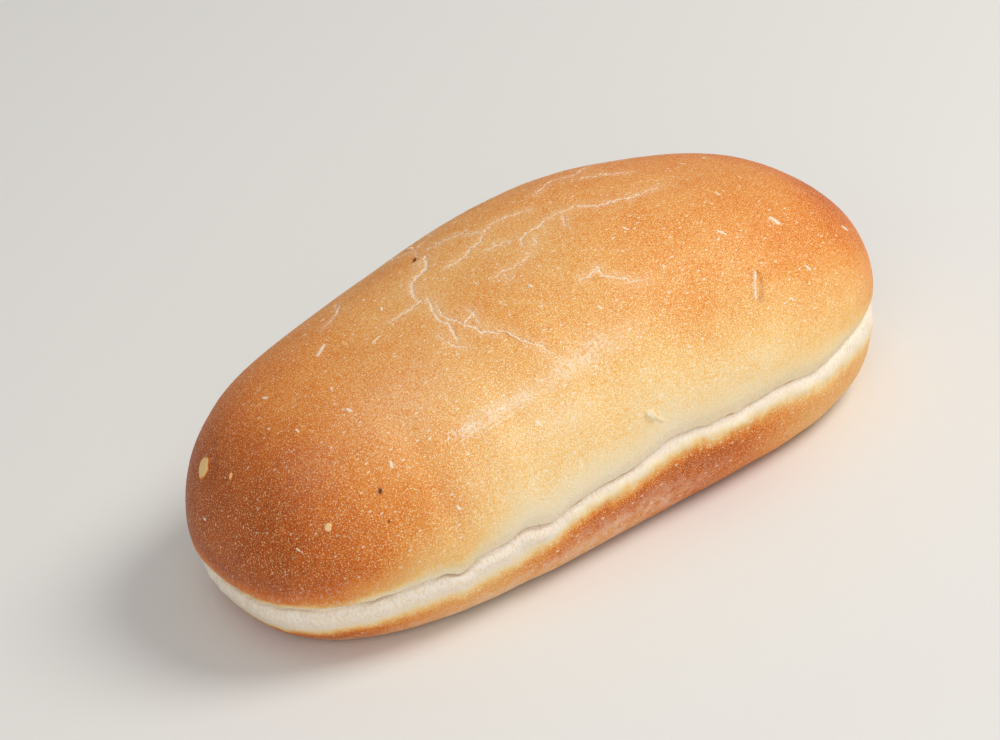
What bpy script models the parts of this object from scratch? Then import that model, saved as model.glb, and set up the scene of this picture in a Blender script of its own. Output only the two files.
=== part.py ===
"""A long soft bread bun: one solid, 145 mm long, lying on its flat base.

+X runs along the bun towards its higher end, -Y is the side shown in the photograph, and +Z is up.
The origin is the middle of the bounding box's bottom. Lengths are in metres.
"""

import collections
import math

import bmesh
import bpy
import numpy as np
from mathutils import Vector

MM = 0.001

# Driving dimensions: the plan at the seam, the dome above it and the side below it
SEAM_HALF_LENGTH = 71.3 * MM
SEAM_HALF_WIDTH = 37.2 * MM
DOME_HEIGHT = 32.8 * MM
SIDE_HEIGHT = 16.3 * MM
BASE_INSET = 10.1 * MM

# Roundness of the superellipses: 2 is an ellipse, and more is fuller
HIGH_END_FULLNESS = 3.5
LOW_END_FULLNESS = 2.95
FLANK_FULLNESS = 2.5
DOME_FULLNESS = 2.58
SIDE_ROUNDING = 0.9

# The crust bulges out over the seam
BULGE = 1.2 * MM
BULGE_HEIGHT = 7.5 * MM

# How this bun strays from a regular one
CROWN_RISE = 0.13
CROWN_ARCH = -0.05
CROWN_MEAN = 0.33
WAVE_HEIGHT = 1.8 * MM
WAVE_LENGTH = 84.6 * MM
WAVE_START = -9.8 * MM
PLAN_TAPER = -0.04
PLAN_BEND = -2.1 * MM
SEAM_RISE = 3.15 * MM
SEAM_SAG = -2.8 * MM

# Swells of the seam on each side: (x, height, reach)
NEAR_SEAM_SWELLS = ((7.6 * MM, 1.9 * MM, 8.0 * MM), (43.1 * MM, -1.5 * MM, 6.1 * MM))
FAR_SEAM_SWELLS = ((-26.0 * MM, -1.1 * MM, 11.0 * MM), (21.0 * MM, 1.0 * MM, 9.0 * MM))

# The seam from the crust's edge to the top of the pale lip: (inset, height over the seam)
SEAM_FOLD = (
    (0.10 * MM, 0.75 * MM),
    (0.60 * MM, 0.05 * MM),
    (1.70 * MM, 0.35 * MM),
    (1.10 * MM, -0.35 * MM),
    (0.45 * MM, -1.00 * MM),
)
LIP_MIDDLE_WIDTH = 3.8 * MM
LIP_END_EXTRA = 3.2 * MM
LIP_END_POWER = 3
LIP_BELLY = 0.15 * MM
LIP_BELLY_PLACE = 0.55
LIP_FOOT_NOTCH = 0.35 * MM

# Blemishes of the crust: a middle, a direction along the surface, a length, a width, and a height that is
# negative where the blemish is sunk
Blemish = collections.namedtuple("Blemish", "middle along length width height")
SLIT_DIRECTION = (-0.53, -0.53, -0.67)
BLEMISHES = (
    Blemish((34.0 * MM, -32.0 * MM, 36.8 * MM), SLIT_DIRECTION, 6.6 * MM, 2.2 * MM, -0.7 * MM),
    Blemish((32.3 * MM, -32.0 * MM, 37.4 * MM), SLIT_DIRECTION, 6.2 * MM, 0.9 * MM, 0.35 * MM),
    Blemish((-12.0 * MM, 13.6 * MM, 47.5 * MM), (0.8, 0.6, 0.0), 3.0 * MM, 1.4 * MM, -0.6 * MM),
    Blemish((-66.0 * MM, 8.1 * MM, 29.4 * MM), (0.5, 0.0, 0.87), 3.0 * MM, 2.2 * MM, 0.5 * MM),
    Blemish((-59.6 * MM, -25.4 * MM, 27.3 * MM), (0.6, -0.7, -0.1), 1.8 * MM, 1.6 * MM, 0.4 * MM),
    Blemish((2.7 * MM, -37.8 * MM, 26.1 * MM), (1.0, 0.0, -0.1), 3.2 * MM, 1.4 * MM, 0.4 * MM),
)
BLEMISH_EDGE_POWER = 4

# Mesh density
SEGMENTS = 104
DOME_RINGS = 18
SIDE_RINGS = 6
BASE_RING_SCALES = (0.66, 0.33)
BLEMISH_EDGE = 0.9 * MM
BLEMISH_MARGIN = 1.5 * MM
FINE_STEPS = 2000

CRUST_COLOUR = (0.66, 0.31, 0.10, 1.0)
CRUST_ROUGHNESS = 0.55


def clear_scene():
    for item in list(bpy.data.objects):
        bpy.data.objects.remove(item, do_unlink=True)


def signed_power(value, power):
    return np.sign(value) * np.abs(value) ** power


def end_fullness(x):
    return np.where(x < 0, LOW_END_FULLNESS, HIGH_END_FULLNESS)


def plan_point(theta, inset=0.0):
    """A point of the seam's plan, moved in from it by shrinking both half-axes."""
    across = np.cos(theta)
    x = (SEAM_HALF_LENGTH - inset) * signed_power(across, 2 / end_fullness(across))
    y = (SEAM_HALF_WIDTH - inset) * signed_power(np.sin(theta), 2 / FLANK_FULLNESS)
    return x, y


def plan_normal(x, y):
    """The outward unit normal of the seam's plan at a point on it."""
    across = signed_power(x / SEAM_HALF_LENGTH, end_fullness(x) - 1) / SEAM_HALF_LENGTH
    along = signed_power(y / SEAM_HALF_WIDTH, FLANK_FULLNESS - 1) / SEAM_HALF_WIDTH
    size = np.hypot(across, along)
    return across / size, along / size


def even_steps(distance, values, count):
    """Reads count values an equal distance apart."""
    return np.interp(np.linspace(0, distance[-1], count), distance, values)


def walked(*coordinates):
    """The distance walked along a line of points, starting from 0."""
    steps = np.sqrt(sum(np.diff(values) ** 2 for values in coordinates))
    return np.concatenate([[0], np.cumsum(steps)])


def plan_angles():
    """Angles that space the segments evenly round the plan."""
    theta = np.linspace(0, 2 * math.pi, FINE_STEPS)
    x, y = plan_point(theta)
    return even_steps(walked(x, y), theta, SEGMENTS + 1)[:-1]


def dome_profile(phi):
    """Distance from the crown across the flank, and height, at phi: 0 at the crown, a right angle at the seam."""
    across = SEAM_HALF_WIDTH * np.sin(phi) ** (2 / FLANK_FULLNESS)
    height = DOME_HEIGHT * np.cos(phi) ** (2 / DOME_FULLNESS)
    return across, height


def dome_angles():
    """Angles that space the dome's rings evenly, from just off the crown to just above the seam."""
    phi = np.linspace(0, math.pi / 2 - 1e-9, FINE_STEPS)
    across, height = dome_profile(phi)
    distance = walked(across, height)
    kept = height > SEAM_FOLD[0][1]
    return even_steps(distance[kept], phi[kept], DOME_RINGS + 1)[1:]


def dome_ring(theta, phi):
    spread = np.sin(phi) ** 2
    x, y = plan_point(theta)
    out_x, out_y = plan_normal(x, y)
    height = DOME_HEIGHT * np.cos(phi) ** (2 / DOME_FULLNESS)
    up = height / BULGE_HEIGHT
    bulge = BULGE * up * np.exp(1 - up) * np.sin(phi)
    x = x * spread ** (1 / end_fullness(x)) + out_x * bulge
    y = y * spread ** (1 / FLANK_FULLNESS) + out_y * bulge
    return x, y, np.full_like(x, height)


def side_inset(height):
    """How far the rounded side has come in at a height below the seam."""
    turn = np.arcsin(np.clip(-height / SIDE_HEIGHT, 0, 1))
    return BASE_INSET * (1 - np.cos(turn) ** SIDE_ROUNDING)


def lip_width(x):
    """The pale lip is wider at the bun's ends."""
    return LIP_MIDDLE_WIDTH + LIP_END_EXTRA * np.abs(x / SEAM_HALF_LENGTH) ** LIP_END_POWER


def ring_at(theta, inset, height):
    """A ring moved in from the plan along its normal."""
    x, y = plan_point(theta)
    out_x, out_y = plan_normal(x, y)
    return x - out_x * inset, y - out_y * inset, height + np.zeros_like(x)


def fold_rings(theta):
    return [ring_at(theta, inset, height) for inset, height in SEAM_FOLD]


def lip_rings(theta):
    width = lip_width(plan_point(theta)[0])
    belly = -width * LIP_BELLY_PLACE
    return [
        ring_at(theta, side_inset(belly) - LIP_BELLY, belly),
        ring_at(theta, side_inset(-width) + LIP_FOOT_NOTCH, -width),
    ]


def side_rings(theta):
    """The side from under the lip's foot down to the edge of the flat base."""
    start = np.arcsin(lip_width(plan_point(theta)[0]) / SIDE_HEIGHT)
    found = []
    for part in np.linspace(0, 1, SIDE_RINGS + 1)[1:]:
        turn = start + (math.pi / 2 - start) * part
        height = -SIDE_HEIGHT * np.sin(turn)
        x, y = plan_point(theta, BASE_INSET * (1 - np.cos(turn) ** SIDE_ROUNDING))
        found.append((x, y, height))
    return found


def swells(x, bumps):
    return sum(height * np.exp(-(((x - place) / reach) ** 2)) for place, height, reach in bumps)


def seam_lift(x, y):
    """How far the seam rises over its mean plane."""
    along = x / SEAM_HALF_LENGTH
    nearness = np.clip(0.5 - y / SEAM_HALF_WIDTH, 0, 1)
    wander = nearness * swells(x, NEAR_SEAM_SWELLS) + (1 - nearness) * swells(x, FAR_SEAM_SWELLS)
    return SEAM_RISE * along + SEAM_SAG * along**2 + wander


def warped(ring):
    """Bends a regular ring into this bun: its rising crown, wavy top, tapered and bent plan, and wandering seam."""
    x, y, z = ring
    along = x / SEAM_HALF_LENGTH
    high = np.clip(z / DOME_HEIGHT, 0, 1)
    low = np.clip(-z / SIDE_HEIGHT, 0, 1)
    stretch = CROWN_RISE * along + CROWN_ARCH * (along**2 - CROWN_MEAN)
    wave = WAVE_HEIGHT * np.sin(2 * math.pi * (x - WAVE_START) / WAVE_LENGTH)
    risen = z + np.maximum(z, 0) * stretch + wave * high
    risen = risen + seam_lift(x, y) * (1 - high - low)
    bent = y * (1 + PLAN_TAPER * along) + PLAN_BEND * along**2
    return np.stack([x, bent, risen], axis=1)


def bun_rings():
    theta = plan_angles()
    dome = [dome_ring(theta, phi) for phi in dome_angles()]
    side = side_rings(theta)
    edge_x, edge_y, edge_z = side[-1]
    base = [(edge_x * scale, edge_y * scale, edge_z) for scale in BASE_RING_SCALES]
    flat = dome + fold_rings(theta) + lip_rings(theta) + side + base
    crown = (np.zeros(1), np.zeros(1), np.full(1, DOME_HEIGHT))
    middle = (np.zeros(1), np.zeros(1), np.full(1, -SIDE_HEIGHT))
    return warped(crown), [warped(ring) for ring in flat], warped(middle)


def bun_mesh():
    """One closed mesh from the crown's point, through the rings, to the base's middle point."""
    crown, rings, middle = bun_rings()
    mesh = bmesh.new()
    top = mesh.verts.new(crown[0])
    loops = [[mesh.verts.new(point) for point in ring] for ring in rings]
    bottom = mesh.verts.new(middle[0])
    for k in range(SEGMENTS):
        after = (k + 1) % SEGMENTS
        mesh.faces.new((top, loops[0][k], loops[0][after]))
        mesh.faces.new((bottom, loops[-1][after], loops[-1][k]))
        for upper, lower in zip(loops, loops[1:]):
            mesh.faces.new((upper[k], lower[k], lower[after], upper[after]))
    return mesh


def centre(mesh):
    """Moves the mesh so that the origin is the middle of its box's bottom."""
    points = np.array([vertex.co for vertex in mesh.verts])
    low, high = points.min(axis=0), points.max(axis=0)
    shift = Vector((-(low[0] + high[0]) / 2, -(low[1] + high[1]) / 2, -low[2]))
    bmesh.ops.translate(mesh, vec=shift, verts=mesh.verts)


def blemish_span(blemish, point):
    """How far a point lies along and across a blemish, each as a share of its half-size."""
    offset = point - Vector(blemish.middle)
    direction = Vector(blemish.along).normalized()
    along = offset.dot(direction)
    across = (offset - direction * along).length
    return 2 * along / blemish.length, 2 * across / blemish.width


def blemish_height(blemish, point):
    along, across = blemish_span(blemish, point)
    return blemish.height * math.exp(-(abs(along) ** BLEMISH_EDGE_POWER) - across**BLEMISH_EDGE_POWER)


def is_blemished(point):
    return any(
        (point - Vector(blemish.middle)).length < blemish.length / 2 + BLEMISH_MARGIN for blemish in BLEMISHES
    )


def refine_round_blemishes(mesh):
    """Splits long edges near a blemish until the faces there can carry it."""
    bmesh.ops.triangulate(mesh, faces=mesh.faces)
    while True:
        long_edges = [
            edge
            for edge in mesh.edges
            if edge.calc_length() > BLEMISH_EDGE
            and is_blemished((edge.verts[0].co + edge.verts[1].co) / 2)
        ]
        if not long_edges:
            return
        bmesh.ops.subdivide_edges(mesh, edges=long_edges, cuts=1)
        bmesh.ops.triangulate(mesh, faces=mesh.faces)


def emboss(mesh):
    """Raises and sinks the crust along its own normals."""
    mesh.normal_update()
    moves = []
    for vertex in mesh.verts:
        height = sum(blemish_height(blemish, vertex.co) for blemish in BLEMISHES)
        moves.append(vertex.normal * height)
    for vertex, move in zip(mesh.verts, moves):
        vertex.co += move


def crust_material():
    material = bpy.data.materials.new("baked_crust")
    material.use_nodes = True
    shader = material.node_tree.nodes["Principled BSDF"]
    shader.inputs["Base Color"].default_value = CRUST_COLOUR
    shader.inputs["Roughness"].default_value = CRUST_ROUGHNESS
    return material


def add_bun():
    mesh = bun_mesh()
    centre(mesh)
    bmesh.ops.recalc_face_normals(mesh, faces=mesh.faces)
    refine_round_blemishes(mesh)
    emboss(mesh)
    data = bpy.data.meshes.new("bun")
    mesh.to_mesh(data)
    mesh.free()
    data.shade_smooth()
    data.materials.append(crust_material())
    bun = bpy.data.objects.new("bun", data)
    bpy.context.scene.collection.objects.link(bun)
    return bun


clear_scene()
add_bun()
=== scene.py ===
"""The looks of a long soft bread bun: its crust, seam, brown side, cracks and flecks, on a pale floor.

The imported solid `bun` is replaced by a finer mesh of the same form, worked out from the same sizes.
Lengths are in metres, and the frame is the solid's: +X along the bun, -Y the near side, +Z up.
"""

import math

import bpy
import numpy as np
from mathutils import Matrix, Vector, noise
from mathutils.bvhtree import BVHTree
from mathutils.kdtree import KDTree


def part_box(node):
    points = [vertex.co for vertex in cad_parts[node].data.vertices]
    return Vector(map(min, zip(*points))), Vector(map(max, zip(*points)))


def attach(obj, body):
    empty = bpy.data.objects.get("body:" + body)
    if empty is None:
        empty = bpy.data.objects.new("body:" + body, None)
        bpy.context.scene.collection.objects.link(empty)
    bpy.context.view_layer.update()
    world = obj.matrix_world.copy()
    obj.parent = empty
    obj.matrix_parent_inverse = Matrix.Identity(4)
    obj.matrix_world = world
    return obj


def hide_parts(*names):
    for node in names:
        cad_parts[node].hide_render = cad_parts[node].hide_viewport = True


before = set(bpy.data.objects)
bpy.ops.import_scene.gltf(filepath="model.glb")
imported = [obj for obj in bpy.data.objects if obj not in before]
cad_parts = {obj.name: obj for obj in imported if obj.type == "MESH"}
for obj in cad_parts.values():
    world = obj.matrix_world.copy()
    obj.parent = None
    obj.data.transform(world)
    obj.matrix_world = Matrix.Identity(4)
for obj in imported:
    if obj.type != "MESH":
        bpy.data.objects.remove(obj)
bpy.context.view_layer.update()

MM = 0.001

# Driving dimensions, as in the solid
SEAM_HALF_LENGTH = 71.3 * MM
SEAM_HALF_WIDTH = 37.2 * MM
DOME_HEIGHT = 32.8 * MM
SIDE_HEIGHT = 16.3 * MM
BASE_INSET = 10.1 * MM
HIGH_END_FULLNESS = 3.5
LOW_END_FULLNESS = 2.95
FLANK_FULLNESS = 2.5
DOME_FULLNESS = 2.58
SIDE_ROUNDING = 0.9
BULGE = 1.2 * MM
BULGE_HEIGHT = 7.5 * MM
CROWN_RISE = 0.13
CROWN_ARCH = -0.05
CROWN_MEAN = 0.33
WAVE_HEIGHT = 1.8 * MM
WAVE_LENGTH = 84.6 * MM
WAVE_START = -9.8 * MM
PLAN_TAPER = -0.04
PLAN_BEND = -2.1 * MM
SEAM_RISE = 3.15 * MM
SEAM_SAG = -2.8 * MM
NEAR_SEAM_SWELLS = ((7.6 * MM, 1.9 * MM, 8.0 * MM), (43.1 * MM, -1.5 * MM, 6.1 * MM))
FAR_SEAM_SWELLS = ((-26.0 * MM, -1.1 * MM, 11.0 * MM), (21.0 * MM, 1.0 * MM, 9.0 * MM))
NEAR_SEAM_KINKS = (
    (-40.5 * MM, -1.4 * MM, 2.3 * MM),
    (-27.0 * MM, 0.8 * MM, 2.3 * MM),
    (-21.5 * MM, -0.9 * MM, 2.8 * MM),
    (-10.0 * MM, 0.6 * MM, 3.5 * MM),
)
# The seam's section, from the upper crust's rim to the lip: inset and height
SEAM_FOLD = (
    (-0.45 * MM, 2.2 * MM),
    (0.10 * MM, 0.75 * MM),
    (0.60 * MM, 0.10 * MM),
    (1.60 * MM, 0.20 * MM),
    (0.75 * MM, -0.30 * MM),
    (0.20 * MM, -0.95 * MM),
)
POCKET = 3
SEAM_CLOSED = 0.62 * MM
SEAM_OPENNESS, OPENNESS_SWAY, OPENNESS_LENGTH = 0.32, 1.1, 6.0 * MM
LIP_MIDDLE_WIDTH = 3.8 * MM
LIP_END_EXTRA = 3.2 * MM
LIP_END_POWER = 3
LIP_BELLY = 0.15 * MM
LIP_BELLY_PLACE = 0.55
LIP_FOOT_NOTCH = 0.05 * MM
LIP_TAIL = 1.3

# Mesh density
COLUMNS = 450
DOME_RINGS = 70
FOLD_STEPS = 4
SIDE_RINGS = 18
BASE_RINGS = 9
FINE_STEPS = 4000
# What the dome's last angle stays short of a right one
HAIR = 1e-9
# Near the marks, in ever narrower bands, edges longer than MARK_EDGE are split
MARK_EDGE = 0.25 * MM
MARK_BANDS = (0.74 * MM, 0.44 * MM, 0.28 * MM)

# Relief of the crust: height and wavelength of its swells, its grain, and the lip's lumps and fibres
SWELL_HEIGHT, SWELL_LENGTH = 0.16 * MM, 9.0 * MM
GRAIN_HEIGHT, GRAIN_LENGTH = 0.035 * MM, 1.4 * MM
LUMP_HEIGHT, LUMP_LENGTH = 0.42 * MM, 3.6 * MM
FIBRE_HEIGHT, FIBRE_LENGTH = 0.05 * MM, 1.3 * MM
RIM_HEIGHT, RIM_LENGTH = 0.16 * MM, 1.9 * MM
PIT_HEIGHT, PIT_LENGTH = 0.12 * MM, 1.6 * MM
SEAM_WANDER, SEAM_WANDER_LENGTH = 0.34 * MM, 2.8 * MM
RIM_REACH, SEAM_WANDER_REACH = 1.6 * MM, 2.5 * MM
FIBRE_STRETCH, RIM_STRETCH = (1, 1, 0.25), (1, 1, 0.4)
PIT_SHARE = 0.1
SEED_SPACING = 17.3

# Where parts come in: start and length, in millimetres up the dome or in points of the seam's fold
DOME_SPAN = (0.2, 2.0)
LIP_FOLDS, LIP_LAST_FOLDS, FOOT_FOLDS = (3.0, 0.8), (5.0, 1.0), (5.4, 0.6)
RIM_FOLDS = 2

# Browning, from 0, pale dough, to 1, nearly black.
# Zones along the bun, in half lengths from its middle: where each starts, and over how much it comes in
LOW_END, LOW_TIP = (0.30, 0.65), (0.70, 0.30)
HIGH_END, HIGH_TIP = (0.42, 0.55), (0.72, 0.28)
CROWN_IN, CROWN_OUT = (0.0, 0.35), (0.6, 0.3)
WARM_RIM, GOLDEN_SIDE, DARK_FOOT = (0.02, 0.25), (0.20, 0.50), (-0.1, 0.3)
# Bumps along the bun, in half lengths: place and reach
WIDEST_BAND, LIGHTEST_SIDE = (-0.20, 0.3), (-0.52, 0.24)
# Bands up the dome, in millimetres, and what the first of them loses or gains along the bun
PALE_BAND, GOLDEN_BAND = 7.4, 20.0
# Its loss at the low end is browning, and partly a painted shadow of the dish the bun lay in
BAND_LOW_LOSS_AND_SHADOW, BAND_HIGH_LOSS, BAND_GAIN = 0.75, 0.38, 0.46
GOLDEN_START, CROWN_START, CROWN_BLEND = 0.5, 1.2, 14.0
# Bands down the side from the pale lip, and the turn to the far side, in millimetres: start and length
FOOT_SPAN, FADE_SPAN, FAR_SPAN = (-0.6, 5.0), (5.5, 5.0), (-2.0, 20.0)
# How much narrower than its form the lip's pale part is towards the high end, and where: start and length
LIP_LOSS = 2.5 * MM
LIP_LOSS_SPAN = (-27.0, 12.0)
# How much each zone and band darkens or lightens the crust: browning, and in places painted shade and a
# painted highlight
# The crown's tone is painted shade where the light falls off
BAND_TONE, GOLDEN_TONE, CROWN_SHADE_TONE, WARM_RIM_TONE = 0.24, 0.29, 0.06, 0.07
# The low tip's tone is browning, and partly a painted shadow of the dish the bun lay in
LOW_END_TONE, LOW_TIP_TONE_AND_SHADOW, HIGH_END_TONE, HIGH_TIP_TONE = 0.24, 0.18, 0.18, 0.24
# The far side's tone is painted shade where the light falls off; the worn patch's loss is wear, and partly
# a painted highlight
FAR_SHADE_TONE, WORN_AND_HIGHLIGHT_TONE = 0.06, 0.13
SIDE_TONE, SIDE_LEAST, SIDE_FADE = 0.88, 0.02, 0.22
GOLDEN_SIDE_LOSS, LIGHTEST_SIDE_LOSS, DARK_FOOT_LOSS = 0.50, 0.40, 0.7
UNDER_TONE = 0.56
# Unevenness of the browning and of its edges: strength and wavelength
BAND_SWAY, BAND_SWAY_LENGTH = 1.6, 11.0 * MM
SIDE_SWAY, SIDE_SWAY_LENGTH = 0.9, 3.0 * MM
SIDE_FRAY, SIDE_FRAY_LENGTH = 0.7, 0.9 * MM
UNDER_SWAY, UNDER_SWAY_LENGTH = 0.10, 14.0 * MM
BLOTCH, BLOTCH_LENGTH = 0.065, 17.0 * MM
SPOT, SPOT_LENGTH = 0.04, 4.5 * MM
BLOTCH_LOW_LOSS, BLOTCH_START = 0.035, 0.3

# The lip's cover, down to its frayed lower edge, in points of the fold and in millimetres
COVER_FOLDS = (2.2, 0.6)
COVER_OVERLAP, COVER_FADE = 0.9, 1.7
COVER_FRAY, COVER_FRAY_LENGTH = 0.35, 1.0 * MM
COVER_SWAY, COVER_SWAY_LENGTH = 0.25, 3.0 * MM
# The tuck under the upper crust: place and reach in the fold, how brown it is, and how dark it is painted,
# which is painted shade in the crease
TUCK = (1.9, 0.7)
TUCK_BROWNING, TUCK_PAINTED_SHADE = 0.62, 0.30
# The pored rim over the seam: reach up the dome, and the last point of the fold that it covers
PORED_REACH, PORED_FOLDS = 4.5 * MM, 2.5
# Pink mottling of the foot: start and length down the side, and where along the bun it ends
PINK_SPAN, PINK_END = (3.5, 5.5), (-0.1, 0.45)
PINK_BASE_LOSS, PINK_END_LOSS = 0.4, 0.92
# Where the fine speckle shows: up the dome, down the side, and less at the ends and on flakes
GRAINY_DOME, GRAINY_SIDE, GRAINY_ENDS = (0.0, 9.0), (0.0, 1.5), (0.35, 0.6)
GRAINY_SIDE_SHARE, GRAINY_END_LOSS, GRAINY_FLAKE_LOSS = 0.8, 0.25, 0.9

# Colours of the crust, from unbaked to darkest, and of what lies on it
BAKE_COLOURS = (
    (0.00, (0.88, 0.77, 0.58)),
    (0.15, (0.87, 0.69, 0.39)),
    (0.33, (0.88, 0.54, 0.185)),
    (0.50, (0.80, 0.38, 0.105)),
    (0.66, (0.74, 0.245, 0.035)),
    (0.82, (0.60, 0.130, 0.015)),
    (1.00, (0.35, 0.065, 0.010)),
)
LIP_COLOUR = (0.91, 0.83, 0.73)
LIP_SHADE = (0.85, 0.70, 0.51)
FLOUR_COLOUR = (0.93, 0.82, 0.66)
# Pale specks and bright sparks: grain of the crust, and partly painted glints
SPECK_AND_GLINT_COLOURS = ((0.30, (0.96, 0.75, 0.48)), (0.60, (0.93, 0.59, 0.25)), (0.90, (0.84, 0.45, 0.16)))
SPARK_AND_GLINT_COLOUR = (0.95, 0.80, 0.57)
PORE_COLOUR = (0.50, 0.36, 0.20)
# The haze's colour, which along the crown's streak is partly a painted highlight
HAZE_AND_HIGHLIGHT_COLOUR = (0.93, 0.76, 0.57)
# Char of the dark dots, and painted shade in the grooves, beside cracks and in the crease
CHAR_AND_SHADE_COLOUR = (0.17, 0.05, 0.02)
PINK_COLOUR = (0.80, 0.54, 0.41)
ROUGHNESS, ROUGHNESS_SWAY = 0.5, 0.2
SPECULAR = 0.15

# Layers of the crust's colour: wavelength, the two levels of noise that it fades in between, and strength
FINE_LENGTH, FINER_LENGTH = 0.32 * MM, 0.235 * MM
MOTTLE_LENGTH, MOTTLE_DEPTH, GRAIN_DEPTH = 1.5 * MM, 0.14, 0.62
PINK_LENGTH, PINK_FADE, PINK_STRENGTH = 2.2 * MM, (0.25, 0.7), 0.8
SPECK_FADE, SPECK_STRENGTH, SPECK_WORN_AND_HIGHLIGHT_GAIN = (0.55, 0.65), 0.57, 0.25
SPARK_FADE, SPARK_STRENGTH, SPARK_BAKED_LOSS = (0.63, 0.70), 0.65, 0.08
DUST_LENGTH, DUST_FADE, DUST_CHANCE, DUST_STRENGTH = 1.5 * MM, (0.20, 0.10), (0.40, 0.56), 0.7
DUST_SCALE = (0.62, 1.25, 1.0)
FIBRE_WIDTH, FIBRE_SCALE = 0.42 * MM, (1.0, 1.0, 0.5)
FIBRE_BEND, FIBRE_BEND_LENGTH = 0.9 * MM, 1.7 * MM
PORE_LENGTH, PORE_FADE, PORE_STRENGTH = 0.24 * MM, (0.40, 0.30), 0.38
STREAK_FADE, STREAK_STRENGTH = (0.48, 0.70), 0.40
LIP_FADE = (0.40, 0.68)
HAZE_LENGTH, HAZE_FADE = 0.55 * MM, (0.30, 0.66)
PALE_FADE, PALE_EDGE, PALE_STRENGTH = (0.18, 0.62), (0.02, 0.12), 0.82
CHAR_AND_SHADE_FADE = (0.40, 0.60)
BUMP_STRENGTH, BUMP_DEPTH = 0.6, 0.08 * MM
FIBRE_BUMP, FIBRE_LIP_BUMP = 0.3, 1.3

# The camera: the photograph's viewing angle, with its roll, in the bun's own frame; the picture in pixels,
# the sensor and the lens in millimetres
IMAGE_WIDTH, IMAGE_HEIGHT = 1000, 740
SENSOR_WIDTH = 36.0
LENS = 117.98
VIEW_AZIMUTH = math.radians(-28.24)
VIEW_ELEVATION = math.radians(28.50)
VIEW_ROLL = math.radians(-11.475)
VIEW_AIM = Vector((0.20, 11.34, 18.58)) * MM
VIEW_DISTANCE = 636.25 * MM
CLIP_START = 10 * MM

# Light: soft, from the upper right of the photograph.
# Each lamp has its name, direction, distance, width, power and colour
LAMPS = (
    ("key", (0.602, -0.334, 0.717), 1.1, 0.55, 7.2, (1.0, 0.97, 0.92)),
    ("fill", (-0.5, -0.8, 0.5), 1.3, 1.0, 4.6, (1.0, 1.0, 1.0)),
)
WORLD_COLOUR, WORLD_STRENGTH = (1.0, 0.99, 0.97, 1), 0.42

# The floor, just under the base
FLOOR_HALF, FLOOR_DROP = 6.0, 0.1 * MM
FLOOR_COLOURS = ((0.80, 0.79, 0.77), (0.82, 0.81, 0.79))
FLOOR_MOTTLE, FLOOR_ROUGHNESS = 0.4, 0.9

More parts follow.
